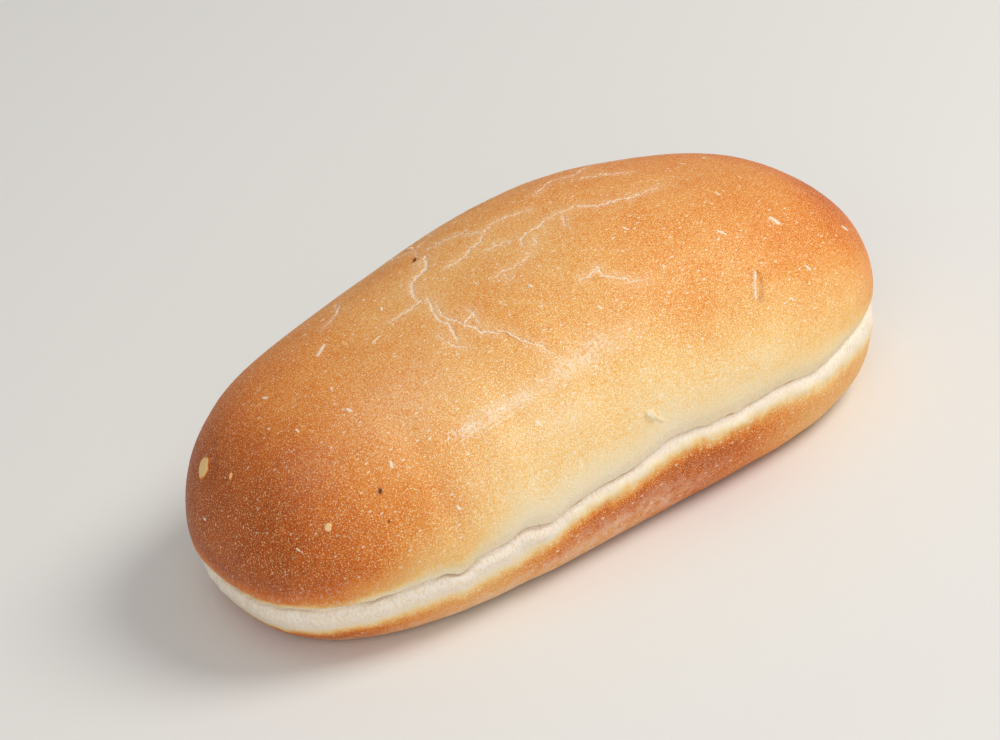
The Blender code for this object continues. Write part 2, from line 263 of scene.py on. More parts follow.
# Marks of the crust, as routes through pixels of the photograph.
# Each has its depth, negative where it stands up, how pale, how dark, its half width, and its route;
# depths and widths are in millimetres. The first four give kinds of mark, without width and route
CRACK = (0.14, 0.66, 0.0)
FLECK = (-0.10, 0.9, 0.0)
# Scuffs: pale streaks over the crown, rubbed crust and partly a painted highlight
SCUFF_AND_HIGHLIGHT = (0.0, 0.42, 0.0)
DOT = (0.10, 0.0, 0.9)
MARKS = (
    (*CRACK, 0.34, ((425, 256), (426, 268), (416, 277), (411, 284), (413, 296), (418, 302))),
    (*CRACK, 0.22, ((418, 303), (409, 311), (397, 317), (388, 323))),
    (*CRACK, 0.20, ((418, 302), (428, 299), (430, 302))),
    (*CRACK, 0.24, ((430, 302), (433, 312), (439, 320), (449, 324), (454, 334), (457, 341))),
    (*CRACK, 0.20, ((437, 306), (441, 314), (447, 319), (456, 320), (466, 324))),
    (*CRACK, 0.26, ((466, 324), (476, 327), (482, 333), (485, 330), (499, 333))),
    (*CRACK, 0.20, ((499, 330), (512, 334), (520, 339), (531, 343), (543, 346), (551, 354))),
    (*CRACK, 0.17, ((466, 308), (472, 312), (476, 318), (480, 324))),
    (*CRACK, 0.16, ((466, 324), (470, 316), (476, 309))),
    (*CRACK, 0.15, ((437, 335), (447, 342), (457, 347), (468, 347))),
    (*CRACK, 0.16, ((428, 249), (439, 242), (453, 237), (464, 233), (476, 234), (484, 231))),
    (*CRACK, 0.20, ((445, 268), (457, 262), (464, 256), (470, 249), (480, 242), (484, 234), (489, 225))),
    (*CRACK, 0.16, ((487, 250), (497, 244), (510, 241))),
    (*CRACK, 0.16, ((489, 225), (502, 218), (518, 213), (529, 210))),
    (*CRACK, 0.20, ((522, 245), (522, 239), (526, 233), (539, 227), (545, 219), (561, 212))),
    (*CRACK, 0.16, ((533, 237), (536, 241), (533, 246))),
    (*CRACK, 0.20, ((561, 212), (574, 206), (599, 205), (613, 200), (634, 197), (659, 186))),
    (*CRACK, 0.15, ((561, 212), (566, 227))),
    (*CRACK, 0.15, ((581, 178), (606, 174), (632, 172))),
    (*CRACK, 0.16, ((496, 277), (505, 270), (518, 265), (527, 257), (531, 251))),
    (*CRACK, 0.13, ((505, 270), (506, 277), (511, 281))),
    (*CRACK, 0.17, ((581, 280), (590, 276), (598, 266), (602, 275), (615, 277), (634, 281), (644, 279))),
    # Painted shade along one side of two cracks
    (0.12, 0.0, 0.30, 0.22, ((503, 331), (512, 337), (521, 342))),
    (0.10, 0.0, 0.22, 0.20, ((591, 279), (602, 277))),
    # A slit: its darker strip is painted shade in its hollow, beside a pale raised edge
    (0.30, 0.0, 0.27, 0.50, ((758, 273), (761, 280), (762, 292), (761, 301))),
    (-0.40, 0.55, 0.0, 0.52, ((754, 273), (754, 287), (755, 298))),
    # A wrinkle, its darkness painted shade in its groove, and a pale crumb by it
    (0.45, 0.0, 0.75, 0.50, ((413, 261), (414, 258))),
    (-0.45, 0.8, 0.0, 0.45, ((408, 250), (412, 249))),
    (*DOT, 0.46, ((380, 490), (380, 492))),
    (*DOT, 0.24, ((389, 521), (389, 522))),
    (*FLECK, 0.36, ((537, 422), (539, 424))),
    (*FLECK, 0.26, ((339, 307), (336, 313))),
    (*FLECK, 0.42, ((324, 345), (318, 355))),
    (*FLECK, 0.22, ((379, 337), (373, 343))),
    (*FLECK, 0.24, ((381, 307), (382, 311))),
    (*FLECK, 0.24, ((263, 398), (267, 398))),
    (*FLECK, 0.24, ((296, 430), (299, 432))),
    (*FLECK, 0.20, ((268, 429), (270, 429))),
    (*FLECK, 0.20, ((331, 388), (332, 390))),
    (*FLECK, 0.30, ((347, 409), (351, 411))),
    (*FLECK, 0.26, ((390, 462), (392, 466))),
    (*FLECK, 0.30, ((457, 507), (460, 509))),
    (*FLECK, 0.22, ((204, 518), (206, 520))),
    (*FLECK, 0.22, ((297, 549), (300, 551))),
    (*FLECK, 0.52, ((771, 218), (778, 223))),
    (*FLECK, 0.36, ((842, 227), (847, 230))),
    (*FLECK, 0.32, ((806, 266), (809, 269))),
    (*FLECK, 0.30, ((718, 231), (725, 234))),
    (*FLECK, 0.22, ((716, 193), (719, 195))),
    (*FLECK, 0.26, ((623, 227), (628, 229))),
    (*FLECK, 0.22, ((529, 285), (532, 287))),
    (*FLECK, 0.22, ((598, 306), (601, 308))),
    (*FLECK, 0.22, ((790, 298), (793, 300))),
    (-0.05, 0.6, 0.0, 0.26, ((580, 459), (582, 468))),
    (-0.05, 0.55, 0.0, 0.24, ((539, 471), (537, 479))),
    (-0.05, 0.5, 0.0, 0.20, ((565, 476), (569, 488))),
    (-0.05, 0.5, 0.0, 0.16, ((541, 498), (554, 496))),
    # Scuffs along the shiny streak over the crown, partly a painted highlight
    (*SCUFF_AND_HIGHLIGHT, 0.20, ((440, 446), (458, 431), (480, 421))),
    (*SCUFF_AND_HIGHLIGHT, 0.17, ((452, 448), (474, 432), (502, 416))),
    (*SCUFF_AND_HIGHLIGHT, 0.22, ((455, 437), (487, 415), (512, 404))),
    (*SCUFF_AND_HIGHLIGHT, 0.20, ((470, 425), (500, 408), (531, 398))),
    (*SCUFF_AND_HIGHLIGHT, 0.17, ((488, 430), (515, 411), (541, 394))),
    (*SCUFF_AND_HIGHLIGHT, 0.15, ((462, 446), (480, 436), (497, 425))),
)
# Flakes lying on the crust: height and half width in millimetres, browning, haze, and the two pixels that
# each reaches between
FLAKES = (
    (0.34, 1.55, 0.27, 0.0, ((204, 466), (204, 470))),
    (0.20, 0.36, 0.26, 0.0, ((231, 475), (231, 477))),
    (0.30, 0.60, 0.34, 0.55, ((328, 527), (328, 529))),
    (0.45, 0.62, 0.05, 0.0, ((649, 413), (653, 416))),
    (0.18, 0.26, 0.08, 0.0, ((654, 416), (662, 420))),
)
FLAKE_SHAPE, FLAKE_SHAPE_LENGTH, FLAKE_EDGE = 0.25 * MM, 1.1 * MM, 0.22 * MM
FLAKE_STEPS, FLAKE_TURNS = 4, 8
# Pale haze on the crown, as soft patches: middle in pixels, reach in millimetres, strength; the first ten,
# along the shiny streak over the crown, are partly a painted highlight
HAZES_AND_HIGHLIGHTS = (
    ((598, 346), (3.4, 2.4, 2.0), 0.75),
    ((584, 358), (3.6, 2.4, 2.0), 0.85),
    ((566, 368), (3.6, 2.2, 2.0), 0.85),
    ((545, 385), (3.4, 1.8, 1.8), 0.55),
    ((520, 398), (3.6, 1.8, 1.8), 0.78),
    ((496, 412), (3.6, 1.8, 1.8), 0.88),
    ((472, 426), (3.4, 1.6, 1.6), 0.85),
    ((622, 336), (3.4, 2.2, 2.2), 0.35),
    ((560, 418), (6.0, 3.5, 3.5), 0.35),
    ((520, 436), (6.0, 3.5, 3.5), 0.22),
    ((421, 264), (1.7, 3.0, 1.2), 0.40),
    ((413, 288), (1.7, 3.0, 1.2), 0.35),
    ((445, 318), (2.2, 2.2, 1.6), 0.22),
    ((482, 331), (2.6, 1.6, 1.4), 0.25),
    ((400, 405), (14, 10, 10), 0.24),
    ((322, 462), (8, 7, 7), 0.13),
    ((480, 480), (10, 6, 6), 0.14),
)
# The crown's worn patch, paler from wear and partly a painted highlight, in the same units
WORN_AND_HIGHLIGHT_PIXEL, WORN_AND_HIGHLIGHT_REACH = (540, 402), (27, 11, 9)
# Cracks of the far side: half width and route, in millimetres along and across the bun
FAR_CRACKS = (
    (0.24, ((-11, 14), (-9, 18), (-12, 22), (-10, 27))),
    (0.18, ((-9, 18), (-4, 20), (-2, 24))),
    (0.20, ((14, 9), (20, 13), (25, 12), (31, 16), (38, 15))),
    (0.16, ((-34, 12), (-29, 15), (-27, 20))),
)
FAR_SWAY, FAR_SWAY_LENGTH = 0.35, 1.3 * MM
# Flecks of the far side: the least and the most of place along and across, turn, length and half width
FAR_FLECKS = 36
FAR_FLECK_LEAST = (-62, 3, 0, 0.1, 0.16)
FAR_FLECK_MOST = (60, 35, 3.1, 0.9, 0.32)
FAR_FLECK_STEPS = 6
FAR_SEED = 7
OVER_BUN = 0.2
# Dusting round the cracks
DUSTING, DUST_REACH = 0.28, 1.3 * MM
# How marks are laid: step, sideways wander in pixels and its wavelengths, raggedness, and the cracks' taper
MARK_STEP = 0.12 * MM
MARK_WANDER = 1.5
WANDER_LENGTHS = ((4.5, 0), (1.7, 4))
WANDER_SPACING = 7.3
RAGGED_MEAN, RAGGED_LENGTH = 0.95, 0.7 * MM
CRACK_RAGGEDNESS, SPOT_RAGGEDNESS = 0.75, 0.3
CRACK_TIP, CRACK_TAPER = 0.4, 3
MARK_REACH = 2.5


def smooth(values):
    """Rises softly from 0 to 1 as the values do."""
    held = np.clip(values, 0, 1)
    return held * held * (3 - 2 * held)


def zone(values, span):
    """Comes in softly from 0 to 1 over a span, which is its start and its length."""
    start, length = span
    return smooth((values - start) / length)


def bump(values, place, reach):
    return np.exp(-(((values - place) / reach) ** 2))


def noise_at(points, length, seed, stretch=(1, 1, 1)):
    """Smooth noise from about -1 to 1, with a wavelength, at each point."""
    scaled = points / length * np.array(stretch) + seed * SEED_SPACING
    return np.array([noise.noise(Vector(place)) for place in scaled])


def signed_power(value, power):
    return np.sign(value) * np.abs(value) ** power


def end_fullness(x):
    return np.where(x < 0, LOW_END_FULLNESS, HIGH_END_FULLNESS)


def plan_point(theta, inset=0.0):
    across = np.cos(theta)
    x = (SEAM_HALF_LENGTH - inset) * signed_power(across, 2 / end_fullness(across))
    y = (SEAM_HALF_WIDTH - inset) * signed_power(np.sin(theta), 2 / FLANK_FULLNESS)
    return x, y


def plan_normal(x, y):
    across = signed_power(x / SEAM_HALF_LENGTH, end_fullness(x) - 1) / SEAM_HALF_LENGTH
    along = signed_power(y / SEAM_HALF_WIDTH, FLANK_FULLNESS - 1) / SEAM_HALF_WIDTH
    size = np.hypot(across, along)
    return across / size, along / size


def even_steps(distance, values, count):
    return np.interp(np.linspace(0, distance[-1], count), distance, values)


def walked(*coordinates):
    steps = np.sqrt(sum(np.diff(values) ** 2 for values in coordinates))
    return np.concatenate([[0], np.cumsum(steps)])


def plan_angles():
    theta = np.linspace(0, 2 * math.pi, FINE_STEPS)
    x, y = plan_point(theta)
    return even_steps(walked(x, y), theta, COLUMNS + 1)[:-1]


def dome_angles():
    phi = np.linspace(0, math.pi / 2 - HAIR, FINE_STEPS)
    across = SEAM_HALF_WIDTH * np.sin(phi) ** (2 / FLANK_FULLNESS)
    height = DOME_HEIGHT * np.cos(phi) ** (2 / DOME_FULLNESS)
    kept = height > SEAM_FOLD[0][1]
    return even_steps(walked(across, height)[kept], phi[kept], DOME_RINGS + 1)[1:]


def dome_ring(theta, phi):
    spread = np.sin(phi) ** 2
    x, y = plan_point(theta)
    out_x, out_y = plan_normal(x, y)
    height = DOME_HEIGHT * np.cos(phi) ** (2 / DOME_FULLNESS)
    up = height / BULGE_HEIGHT
    bulge = BULGE * up * np.exp(1 - up) * np.sin(phi)
    x = x * spread ** (1 / end_fullness(x)) + out_x * bulge
    y = y * spread ** (1 / FLANK_FULLNESS) + out_y * bulge
    return np.stack([x, y, np.full_like(x, height)], axis=1)


def side_inset(height):
    turn = np.arcsin(np.clip(-height / SIDE_HEIGHT, 0, 1))
    return BASE_INSET * (1 - np.cos(turn) ** SIDE_ROUNDING)


def lip_width(x):
    return LIP_MIDDLE_WIDTH + LIP_END_EXTRA * np.abs(x / SEAM_HALF_LENGTH) ** LIP_END_POWER


def pale_width(x):
    """How far down the lip stays pale: less than its form from the middle to the high end."""
    return lip_width(x) - LIP_LOSS * zone(x / MM, LIP_LOSS_SPAN)


def seam_openness(theta):
    """From 0 to 1, how far the crease of the seam gapes along the way round."""
    x, y = plan_point(theta)
    around = np.stack([x, y, np.zeros_like(x)], axis=1)
    sway = OPENNESS_SWAY * noise_at(around, OPENNESS_LENGTH, seed=15)
    return np.clip(SEAM_OPENNESS + sway, 0.0, 1)


def fold_chain(theta):
    """Inset and height of the points that the seam's section passes through, column by column."""
    width = lip_width(plan_point(theta)[0])
    belly = -width * LIP_BELLY_PLACE
    chain = [np.full((2, len(theta)), np.array(point)[:, None]) for point in SEAM_FOLD]
    chain[POCKET][0] = SEAM_CLOSED + (SEAM_FOLD[POCKET][0] - SEAM_CLOSED) * seam_openness(theta)
    chain.append(np.stack([side_inset(belly) - LIP_BELLY, belly]))
    chain.append(np.stack([side_inset(-width) + LIP_FOOT_NOTCH, -width]))
    below = -width * LIP_TAIL
    chain.append(np.stack([side_inset(below), below]))
    return chain


def smooth_chain(chain, steps):
    """Catmull-Rom points between the second and the last but one of a chain."""
    found = []
    for before, start, end, after in zip(chain, chain[1:], chain[2:], chain[3:]):
        for part in np.arange(steps) / steps:
            point = 2 * start + (end - before) * part
            point = point + (2 * before - 5 * start + 4 * end - after) * part**2
            point = point + (3 * start - before - 3 * end + after) * part**3
            found.append(0.5 * point)
    found.append(chain[-2])
    return found


def fold_rings(theta):
    x, y = plan_point(theta)
    out_x, out_y = plan_normal(x, y)
    rings = []
    for inset, height in smooth_chain(fold_chain(theta), FOLD_STEPS):
        rings.append(np.stack([x - out_x * inset, y - out_y * inset, height], axis=1))
    return rings


def side_rings(theta):
    start = np.arcsin(lip_width(plan_point(theta)[0]) / SIDE_HEIGHT)
    found = []
    for part in np.linspace(0, 1, SIDE_RINGS + 1)[1:]:
        turn = start + (math.pi / 2 - start) * part
        x, y = plan_point(theta, BASE_INSET * (1 - np.cos(turn) ** SIDE_ROUNDING))
        found.append(np.stack([x, y, -SIDE_HEIGHT * np.sin(turn)], axis=1))
    return found


def base_rings(edge):
    scales = np.linspace(1, 0, BASE_RINGS + 2)[1:-1]
    return [np.stack([edge[:, 0] * scale, edge[:, 1] * scale, edge[:, 2]], axis=1) for scale in scales]


def swells(x, rows):
    return sum(height * bump(x, place, reach) for place, height, reach in rows)


def seam_lift(x, y):
    along = x / SEAM_HALF_LENGTH
    nearness = np.clip(0.5 - y / SEAM_HALF_WIDTH, 0, 1)
    wander = nearness * swells(x, NEAR_SEAM_SWELLS + NEAR_SEAM_KINKS)
    wander = wander + (1 - nearness) * swells(x, FAR_SEAM_SWELLS)
    return SEAM_RISE * along + SEAM_SAG * along**2 + wander


def warped(points):
    x, y, z = points.T
    along = x / SEAM_HALF_LENGTH
    high = np.clip(z / DOME_HEIGHT, 0, 1)
    low = np.clip(-z / SIDE_HEIGHT, 0, 1)
    stretch = CROWN_RISE * along + CROWN_ARCH * (along**2 - CROWN_MEAN)
    wave = WAVE_HEIGHT * np.sin(2 * math.pi * (x - WAVE_START) / WAVE_LENGTH)
    risen = z + np.maximum(z, 0) * stretch + wave * high
    risen = risen + seam_lift(x, y) * (1 - high - low)
    bent = y * (1 + PLAN_TAPER * along) + PLAN_BEND * along**2
    return np.stack([x, bent, risen], axis=1)


def plain_points():
    """The regular bun's points, ring by ring from the crown to the base's middle.

    With them come each point's place in the fold, which counts its named points from 0 at the upper crust's
    rim and stays level above and below it, whether it lies on the base, and the number of rings.
    """
    theta = plan_angles()
    dome = [dome_ring(theta, phi) for phi in dome_angles()]
    fold = fold_rings(theta)
    side = side_rings(theta)
    base = base_rings(side[-1])
    rings = dome + fold + side + base
    crown = np.array([[0, 0, DOME_HEIGHT]])
    middle = np.array([[0, 0, -SIDE_HEIGHT]])
    levels = [0.0] * len(dome) + [k / FOLD_STEPS for k in range(len(fold))]
    levels += [(len(fold) - 1) / FOLD_STEPS] * (len(side) + len(base))
    places = np.concatenate([[0], np.repeat(levels, COLUMNS), [levels[-1]]])
    lies_flat = [0.0] * (len(rings) - len(base)) + [1.0] * len(base)
    on_base = np.concatenate([[0], np.repeat(lies_flat, COLUMNS), [1]])
    return np.concatenate([crown, *rings, middle]), places, on_base, len(rings)


def bun_triangles(ring_count):
    k = np.arange(COLUMNS)
    after = (k + 1) % COLUMNS
    found = [np.stack([np.zeros_like(k), 1 + k, 1 + after], axis=1)]
    for ring in range(ring_count - 1):
        upper, lower = 1 + ring * COLUMNS, 1 + (ring + 1) * COLUMNS
        found.append(np.stack([upper + k, lower + k, lower + after], axis=1))
        found.append(np.stack([upper + k, lower + after, upper + after], axis=1))
    last, end = 1 + (ring_count - 1) * COLUMNS, 1 + ring_count * COLUMNS
    found.append(np.stack([np.full_like(k, end), last + after, last + k], axis=1))
    return np.concatenate(found)


def settle(points):
    """Moves the points so that their box stands where the solid's does."""
    low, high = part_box("bun")
    own_low, own_high = points.min(axis=0), points.max(axis=0)
    shift = (np.array(low) + np.array(high) - own_low - own_high) / 2
    shift[2] = low[2] - own_low[2]
    return points + shift


def camera_axes():
    """The camera's right, up and back directions."""
    back = Vector(
        (
            math.sin(VIEW_AZIMUTH) * math.cos(VIEW_ELEVATION),
            -math.cos(VIEW_AZIMUTH) * math.cos(VIEW_ELEVATION),
            math.sin(VIEW_ELEVATION),
        )
    )
    level = Vector((math.cos(VIEW_AZIMUTH), math.sin(VIEW_AZIMUTH), 0))
    upright = back.cross(level)
    right = level * math.cos(VIEW_ROLL) + upright * math.sin(VIEW_ROLL)
    return right, back.cross(right), back


def add_camera():
    right, up, back = camera_axes()
    data = bpy.data.cameras.new("camera")
    data.sensor_width = SENSOR_WIDTH
    data.lens = LENS
    data.clip_start = CLIP_START
    camera = bpy.data.objects.new("camera", data)
    turned = Matrix((right, up, back)).transposed().to_4x4()
    camera.matrix_world = Matrix.Translation(VIEW_AIM + back * VIEW_DISTANCE) @ turned
    bpy.context.scene.collection.objects.link(camera)
    bpy.context.scene.camera = camera


def pixel_ray(pixel):
    """Start and direction of the line of sight through a pixel of the photograph."""
    right, up, back = camera_axes()
    focal = LENS / SENSOR_WIDTH * IMAGE_WIDTH
    across = (pixel[0] - IMAGE_WIDTH / 2) / focal
    down = (pixel[1] - IMAGE_HEIGHT / 2) / focal
    return VIEW_AIM + back * VIEW_DISTANCE, (right * across - up * down - back).normalized()


def on_crust(tree, pixel):
    start, direction = pixel_ray(pixel)
    return tree.ray_cast(start, direction)[0]


def mark_route(tree, route, number, wanders):
    """Places on the crust along a route through the photograph, at most MARK_STEP apart."""
    route = [Vector(pixel) for pixel in route]
    gone = 0.0
    seen = []
    for start, end in zip(route, route[1:]):
        step = end - start
        side = Vector((-step.y, step.x)).normalized()
        for part in np.linspace(0, 1, max(2, math.ceil(step.length))):
            here = gone + part * step.length
            wander = 0.0
            for length, level in WANDER_LENGTHS:
                at = Vector((here / length, number * WANDER_SPACING, level))
                wander += noise.noise(at) * MARK_WANDER * wanders
            place = on_crust(tree, start + step * float(part) + side * wander)
            if place is not None:
                seen.append(place)
        gone += step.length
    places = seen[:1]
    for start, end in zip(seen, seen[1:]):
        count = max(1, math.ceil((end - start).length / MARK_STEP))
        places += [start.lerp(end, (k + 1) / count) for k in range(count)]
    return places


def under(tree, x, y):
    """The place on the crust straight under a point, given in millimetres."""
    return tree.ray_cast(Vector((x * MM, y * MM, OVER_BUN)), Vector((0, 0, -1)))[0]


def far_marks(tree):
    """Cracks and flecks of the far side, which the photograph doesn't show: kind, half width and places."""
    noise.seed_set(FAR_SEED)
    found = []
    for width, route in FAR_CRACKS:
        corners = [under(tree, x, y) for x, y in route]
        places = []
        for start, end in zip(corners, corners[1:]):
            count = math.ceil((end - start).length / MARK_STEP)
            steps = [start.lerp(end, k / count) for k in range(count)]
            for place in steps:
                places.append(place + noise.noise_vector(place / FAR_SWAY_LENGTH) * FAR_SWAY * MM)
        found.append((CRACK, width, places))
    spread = np.random.default_rng(FAR_SEED)
    draws = spread.uniform(FAR_FLECK_LEAST, FAR_FLECK_MOST, (FAR_FLECKS, len(FAR_FLECK_LEAST)))
    for x, y, turn, length, width in draws:
        start = under(tree, x, y)
        end = under(tree, x + length * math.cos(turn), y + length * math.sin(turn))
        if start and end:
            steps = [start.lerp(end, k / FAR_FLECK_STEPS) for k in range(FAR_FLECK_STEPS + 1)]
            found.append((FLECK, width, steps))
    return found


def mark_samples(tree):
    """Points along the marks, on the crust, each with its depth, paleness, darkness and half width."""
    marks = []
    for number, (depth, pale, dark, width, route) in enumerate(MARKS):
        marks.append(((depth, pale, dark), width, mark_route(tree, route, number, depth == CRACK[0])))
    places, values = [], []
    for (depth, pale, dark), width, found in marks + far_marks(tree):
        is_crack = depth == CRACK[0]
        for k, place in enumerate(found):
            raggedness = CRACK_RAGGEDNESS if is_crack else SPOT_RAGGEDNESS
            ragged = RAGGED_MEAN + raggedness * noise.noise(place / RAGGED_LENGTH)
            if is_crack:
                ragged *= min(1, CRACK_TIP + CRACK_TAPER * (1 - k / len(found)))
            places.append(place)
            values.append((depth * MM * min(1, ragged), pale, dark, width * MM * ragged))
    return places, np.array(values)


def tree_of(places):
    tree = KDTree(len(places))
    for number, place in enumerate(places):
        tree.insert(place, number)
    tree.balance()
    return tree


def split_marked(points, triangles, marked_edge):
    """Splits the marked edges in the middle, and each triangle into two, three or four as its edges ask."""
    edges = np.sort(triangles[:, [0, 1, 1, 2, 2, 0]].reshape(-1, 2), axis=1)
    edges, edge_of = np.unique(edges, axis=0, return_inverse=True)
    edge_of = edge_of.reshape(-1, 3)
    marked = marked_edge(edges)
    middle = np.full(len(edges), -1)
    middle[marked] = len(points) + np.arange(marked.sum())
    split = points[edges[marked]].mean(axis=1)
    cut = middle[edge_of]
    count = (cut >= 0).sum(axis=1)
    found = [triangles[count == 0]]
    for want in (1, 2, 3):
        chosen, cuts = triangles[count == want], cut[count == want]
        first = np.argmax(cuts < 0 if want == 2 else cuts >= 0, axis=1)
        row = np.arange(len(chosen))
        a, b, c = (chosen[row, (first + k) % 3] for k in range(3))
        ab, bc, ca = (cuts[row, (first + k) % 3] for k in range(3))
        if want == 1:
            pieces = ((a, ab, c), (ab, b, c))
        elif want == 2:
            pieces = ((a, b, bc), (a, bc, ca), (ca, bc, c))
        else:
            pieces = ((a, ab, ca), (ab, b, bc), (ca, bc, c), (ab, bc, ca))
        found += [np.stack(piece, axis=1) for piece in pieces]
    return np.concatenate([points, split]), np.concatenate(found)


def refined(points, triangles, features):
    """Splits edges near the features until they are short; three columns of points give their place."""
    for band in MARK_BANDS:
        close = np.array([features.find(place)[2] for place in points[:, :3]]) < band

        def marked_edge(edges):
            length = np.linalg.norm(points[edges[:, 0], :3] - points[edges[:, 1], :3], axis=1)
            return close[edges].any(axis=1) & (length > MARK_EDGE)

        points, triangles = split_marked(points, triangles, marked_edge)
    return points, triangles


def attribute(data, name, values):
    layer = data.attributes.new(name, "FLOAT", "POINT")
    layer.data.foreach_set("value", np.asarray(values, dtype=np.float32))


def vertex_normals(points, triangles):
    corners = points[triangles]
    flat = np.cross(corners[:, 1] - corners[:, 0], corners[:, 2] - corners[:, 0])
    normals = np.zeros_like(points)
    for corner in range(3):
        np.add.at(normals, triangles[:, corner], flat)
    return normals / np.linalg.norm(normals, axis=1)[:, None]


def mark_values(points, marks, samples):
    """Depth, paleness, darkness and dusting round it that the marks give each point."""
    found = np.zeros((len(points), 4))
    for number, place in enumerate(points):
        _, nearest, distance = marks.find(place)
        depth, pale, dark, width = samples[nearest]
        if distance < MARK_REACH * width:
            found[number, :3] = np.array([depth, pale, dark]) * math.exp(-((distance / width) ** 2))
        if pale == CRACK[1]:
            found[number, 3] = DUSTING * math.exp(-((distance / DUST_REACH) ** 2))
    return found


def relief(points, plain, fold, on_base):
    """How far each point stands out of the plain form."""
    dome = zone(plain[:, 2] / MM, DOME_SPAN)
    foot = zone(fold, FOOT_FOLDS) * (1 - on_base)
    lip = zone(fold, LIP_FOLDS) * (1 - zone(fold, LIP_LAST_FOLDS))
    rim = bump(np.maximum(plain[:, 2], 0), 0, RIM_REACH) * (fold < RIM_FOLDS)
    rise = (dome + foot) * noise_at(points, SWELL_LENGTH, seed=1) * SWELL_HEIGHT
    rise += (dome + foot) * noise_at(points, GRAIN_LENGTH, seed=2) * GRAIN_HEIGHT
    rise += lip * noise_at(points, LUMP_LENGTH, seed=3) * LUMP_HEIGHT
    rise += lip * noise_at(points, FIBRE_LENGTH, seed=4, stretch=FIBRE_STRETCH) * FIBRE_HEIGHT
    rise += rim * noise_at(points, RIM_LENGTH, seed=16, stretch=RIM_STRETCH) * RIM_HEIGHT
    pits = np.minimum(noise_at(points, PIT_LENGTH, seed=5) + PIT_SHARE, 0)
    return rise + (foot + on_base) * pits * PIT_HEIGHT


def flake_masks(points, surface):
    """For each flake, from 0 to 1, how much of it covers each point; its rim is angular."""
    edge = noise_at(points, FLAKE_SHAPE_LENGTH, seed=21) * FLAKE_SHAPE
    masks = []
    for _, width, _, _, (first, last) in FLAKES:
        start, end = np.array(on_crust(surface, first)), np.array(on_crust(surface, last))
        step = end - start
        part = np.clip((points - start) @ step / (step @ step), 0, 1)
        away = np.linalg.norm(points - start - part[:, None] * step, axis=1)
        masks.append(smooth((width * MM - away + edge) / FLAKE_EDGE + 0.5))
    return masks


def flake_places(surface):
    """Places that the mesh is refined round, so that the flakes have clean rims."""
    places = []
    for _, width, _, _, (first, last) in FLAKES:
        start, end = on_crust(surface, first), on_crust(surface, last)
        for k in range(FLAKE_STEPS + 1):
            middle = start.lerp(end, k / FLAKE_STEPS)
            for turn in range(FLAKE_TURNS):
                angle = turn * 2 * math.pi / FLAKE_TURNS
                swing = Vector((math.cos(angle), math.sin(angle), 0)) * width * MM
                places.append(surface.find_nearest(middle + swing)[0])
    return places


def patch(points, surface, pixel, reach):
    """A soft patch round the place under a pixel: 1 in its middle, falling off to 0."""
    away = (points - np.array(on_crust(surface, pixel))) / (np.array(reach) * MM)
    return np.exp(-(away**2).sum(axis=1))


def haze_and_highlight_at(points, surface):
    """How much of the pale scuffing of the crown, partly a painted highlight, lies on each point."""
    haze_and_highlight = np.zeros(len(points))
    for pixel, reach, strength in HAZES_AND_HIGHLIGHTS:
        haze_and_highlight = np.maximum(haze_and_highlight, strength * patch(points, surface, pixel, reach))
    return haze_and_highlight


def below_lip(plain):
    """How many millimetres each point lies below the pale part of the lip."""
    return (-plain[:, 2] - pale_width(plain[:, 0])) / MM


def dome_browning_and_shade(points, plain, worn_and_highlight):
    """The dome's browning: a pale band over the seam, a golden one, the brown crown and the darker ends;
    with painted shade on the crown, the far side and the low tip, and a painted highlight on the crown's
    paler patch.
    """
    along = plain[:, 0] / SEAM_HALF_LENGTH
    rise = plain[:, 2] / MM + BAND_SWAY * noise_at(points, BAND_SWAY_LENGTH, seed=6)
    low_end, low_tip = zone(-along, LOW_END), zone(-along, LOW_TIP)
    high_end, high_tip = zone(along, HIGH_END), zone(along, HIGH_TIP)
    narrowed = 1 - BAND_LOW_LOSS_AND_SHADOW * low_end - BAND_HIGH_LOSS * high_end
    band = PALE_BAND * (narrowed + BAND_GAIN * bump(along, *WIDEST_BAND))
    over_band = smooth(rise / band)
    golden = smooth((rise - GOLDEN_START * band) / (GOLDEN_BAND * (1 - BAND_LOW_LOSS_AND_SHADOW * low_end)))
    tone = BAND_TONE * over_band + GOLDEN_TONE * golden
    # The ends are browned darker, and the low tip partly as a painted shadow of the dish
    ends = LOW_END_TONE * low_end + LOW_TIP_TONE_AND_SHADOW * low_tip
    ends = ends + HIGH_END_TONE * high_end + HIGH_TIP_TONE * high_tip
    # The far side is painted darker: painted shade where the light falls off
    tone += (ends + FAR_SHADE_TONE * zone(plain[:, 1] / MM, FAR_SPAN)) * over_band
    # Painted shade on the crown where the light falls off
    crown = smooth((rise - CROWN_START * band) / CROWN_BLEND)
    tone += CROWN_SHADE_TONE * zone(along, CROWN_IN) * (1 - zone(along, CROWN_OUT)) * crown
    tone += WARM_RIM_TONE * zone(along, WARM_RIM) * (1 - over_band)
    # The worn patch is browned less: wear, and partly a painted highlight
    return tone - WORN_AND_HIGHLIGHT_TONE * worn_and_highlight


